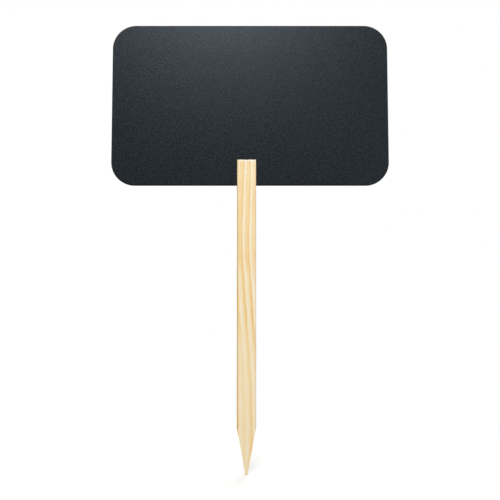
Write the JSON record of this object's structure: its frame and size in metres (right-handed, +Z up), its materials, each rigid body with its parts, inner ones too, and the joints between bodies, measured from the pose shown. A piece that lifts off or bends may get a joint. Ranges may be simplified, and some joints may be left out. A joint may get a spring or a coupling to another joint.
{
  "type": "plant label stake",
  "caption": "Chalkboard plant label: a thin black board with rounded corners, gripped in the saw kerf of a flat, pointed pine stake, which it can be pulled up out of.",
  "frame": {"origin": "middle of the blunt point of the stake, on the stake's own axis", "axes": "+Z up along the stake, towards the board; -Y is the front, the side that is read; +X to the right as seen from the front"},
  "size_m": [0.15, 0.006, 0.2412],
  "materials": {
    "pine": "matte",
    "black_fibreboard": "matte",
    "chalkboard_laminate": "matte"
  },
  "bodies": {
    "stake": {"stake": "pine"},
    "board": {"board_core": "black_fibreboard", "front_writing_face": "chalkboard_laminate", "back_writing_face": "chalkboard_laminate"}
  },
  "joints": [
    {"name": "board_lift", "type": "slide", "parent": "stake", "child": "board", "axis": [0, 0, 1], "range_m": [0, 0.016]}
  ]
}
